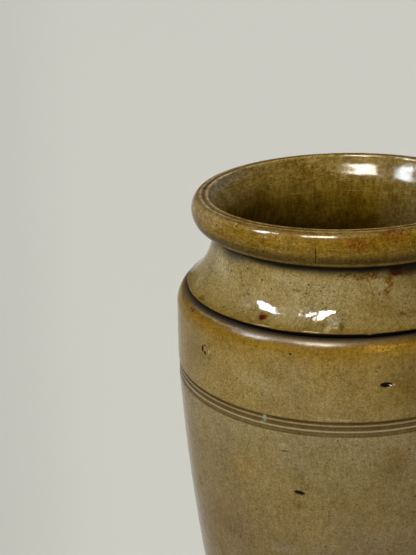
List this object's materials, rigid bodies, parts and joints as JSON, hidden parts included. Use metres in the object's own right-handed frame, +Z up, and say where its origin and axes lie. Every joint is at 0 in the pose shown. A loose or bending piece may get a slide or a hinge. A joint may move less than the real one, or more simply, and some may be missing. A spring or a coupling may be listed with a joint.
{
  "type": "storage jar",
  "caption": "Tall wheel-thrown stoneware storage jar with a rolled rim, an undercut concave collar, a belt with incised lines and a wall that tapers to a flat foot.",
  "frame": {"origin": "centre of the foot's underside, on the surface that the jar stands on", "axes": "+Z up along the jar's axis; the jar is round, so X and Y are free"},
  "size_m": [0.168, 0.168, 0.301],
  "materials": {
    "foot_clay": "thin glaze over a bare stoneware foot",
    "wall_glaze": "glossy grey-olive glaze with brown mottling",
    "band_glaze": "glossy golden-olive glaze",
    "collar_glaze": "glossy khaki glaze with iron specks",
    "rim_glaze": "glossy ochre glaze with orange-brown iron"
  },
  "bodies": {
    "root": {"base": "foot_clay", "lower_wall": "wall_glaze", "shoulder_band": "band_glaze", "neck_collar": "collar_glaze", "rim_roll": "rim_glaze"}
  },
  "joints": []
}
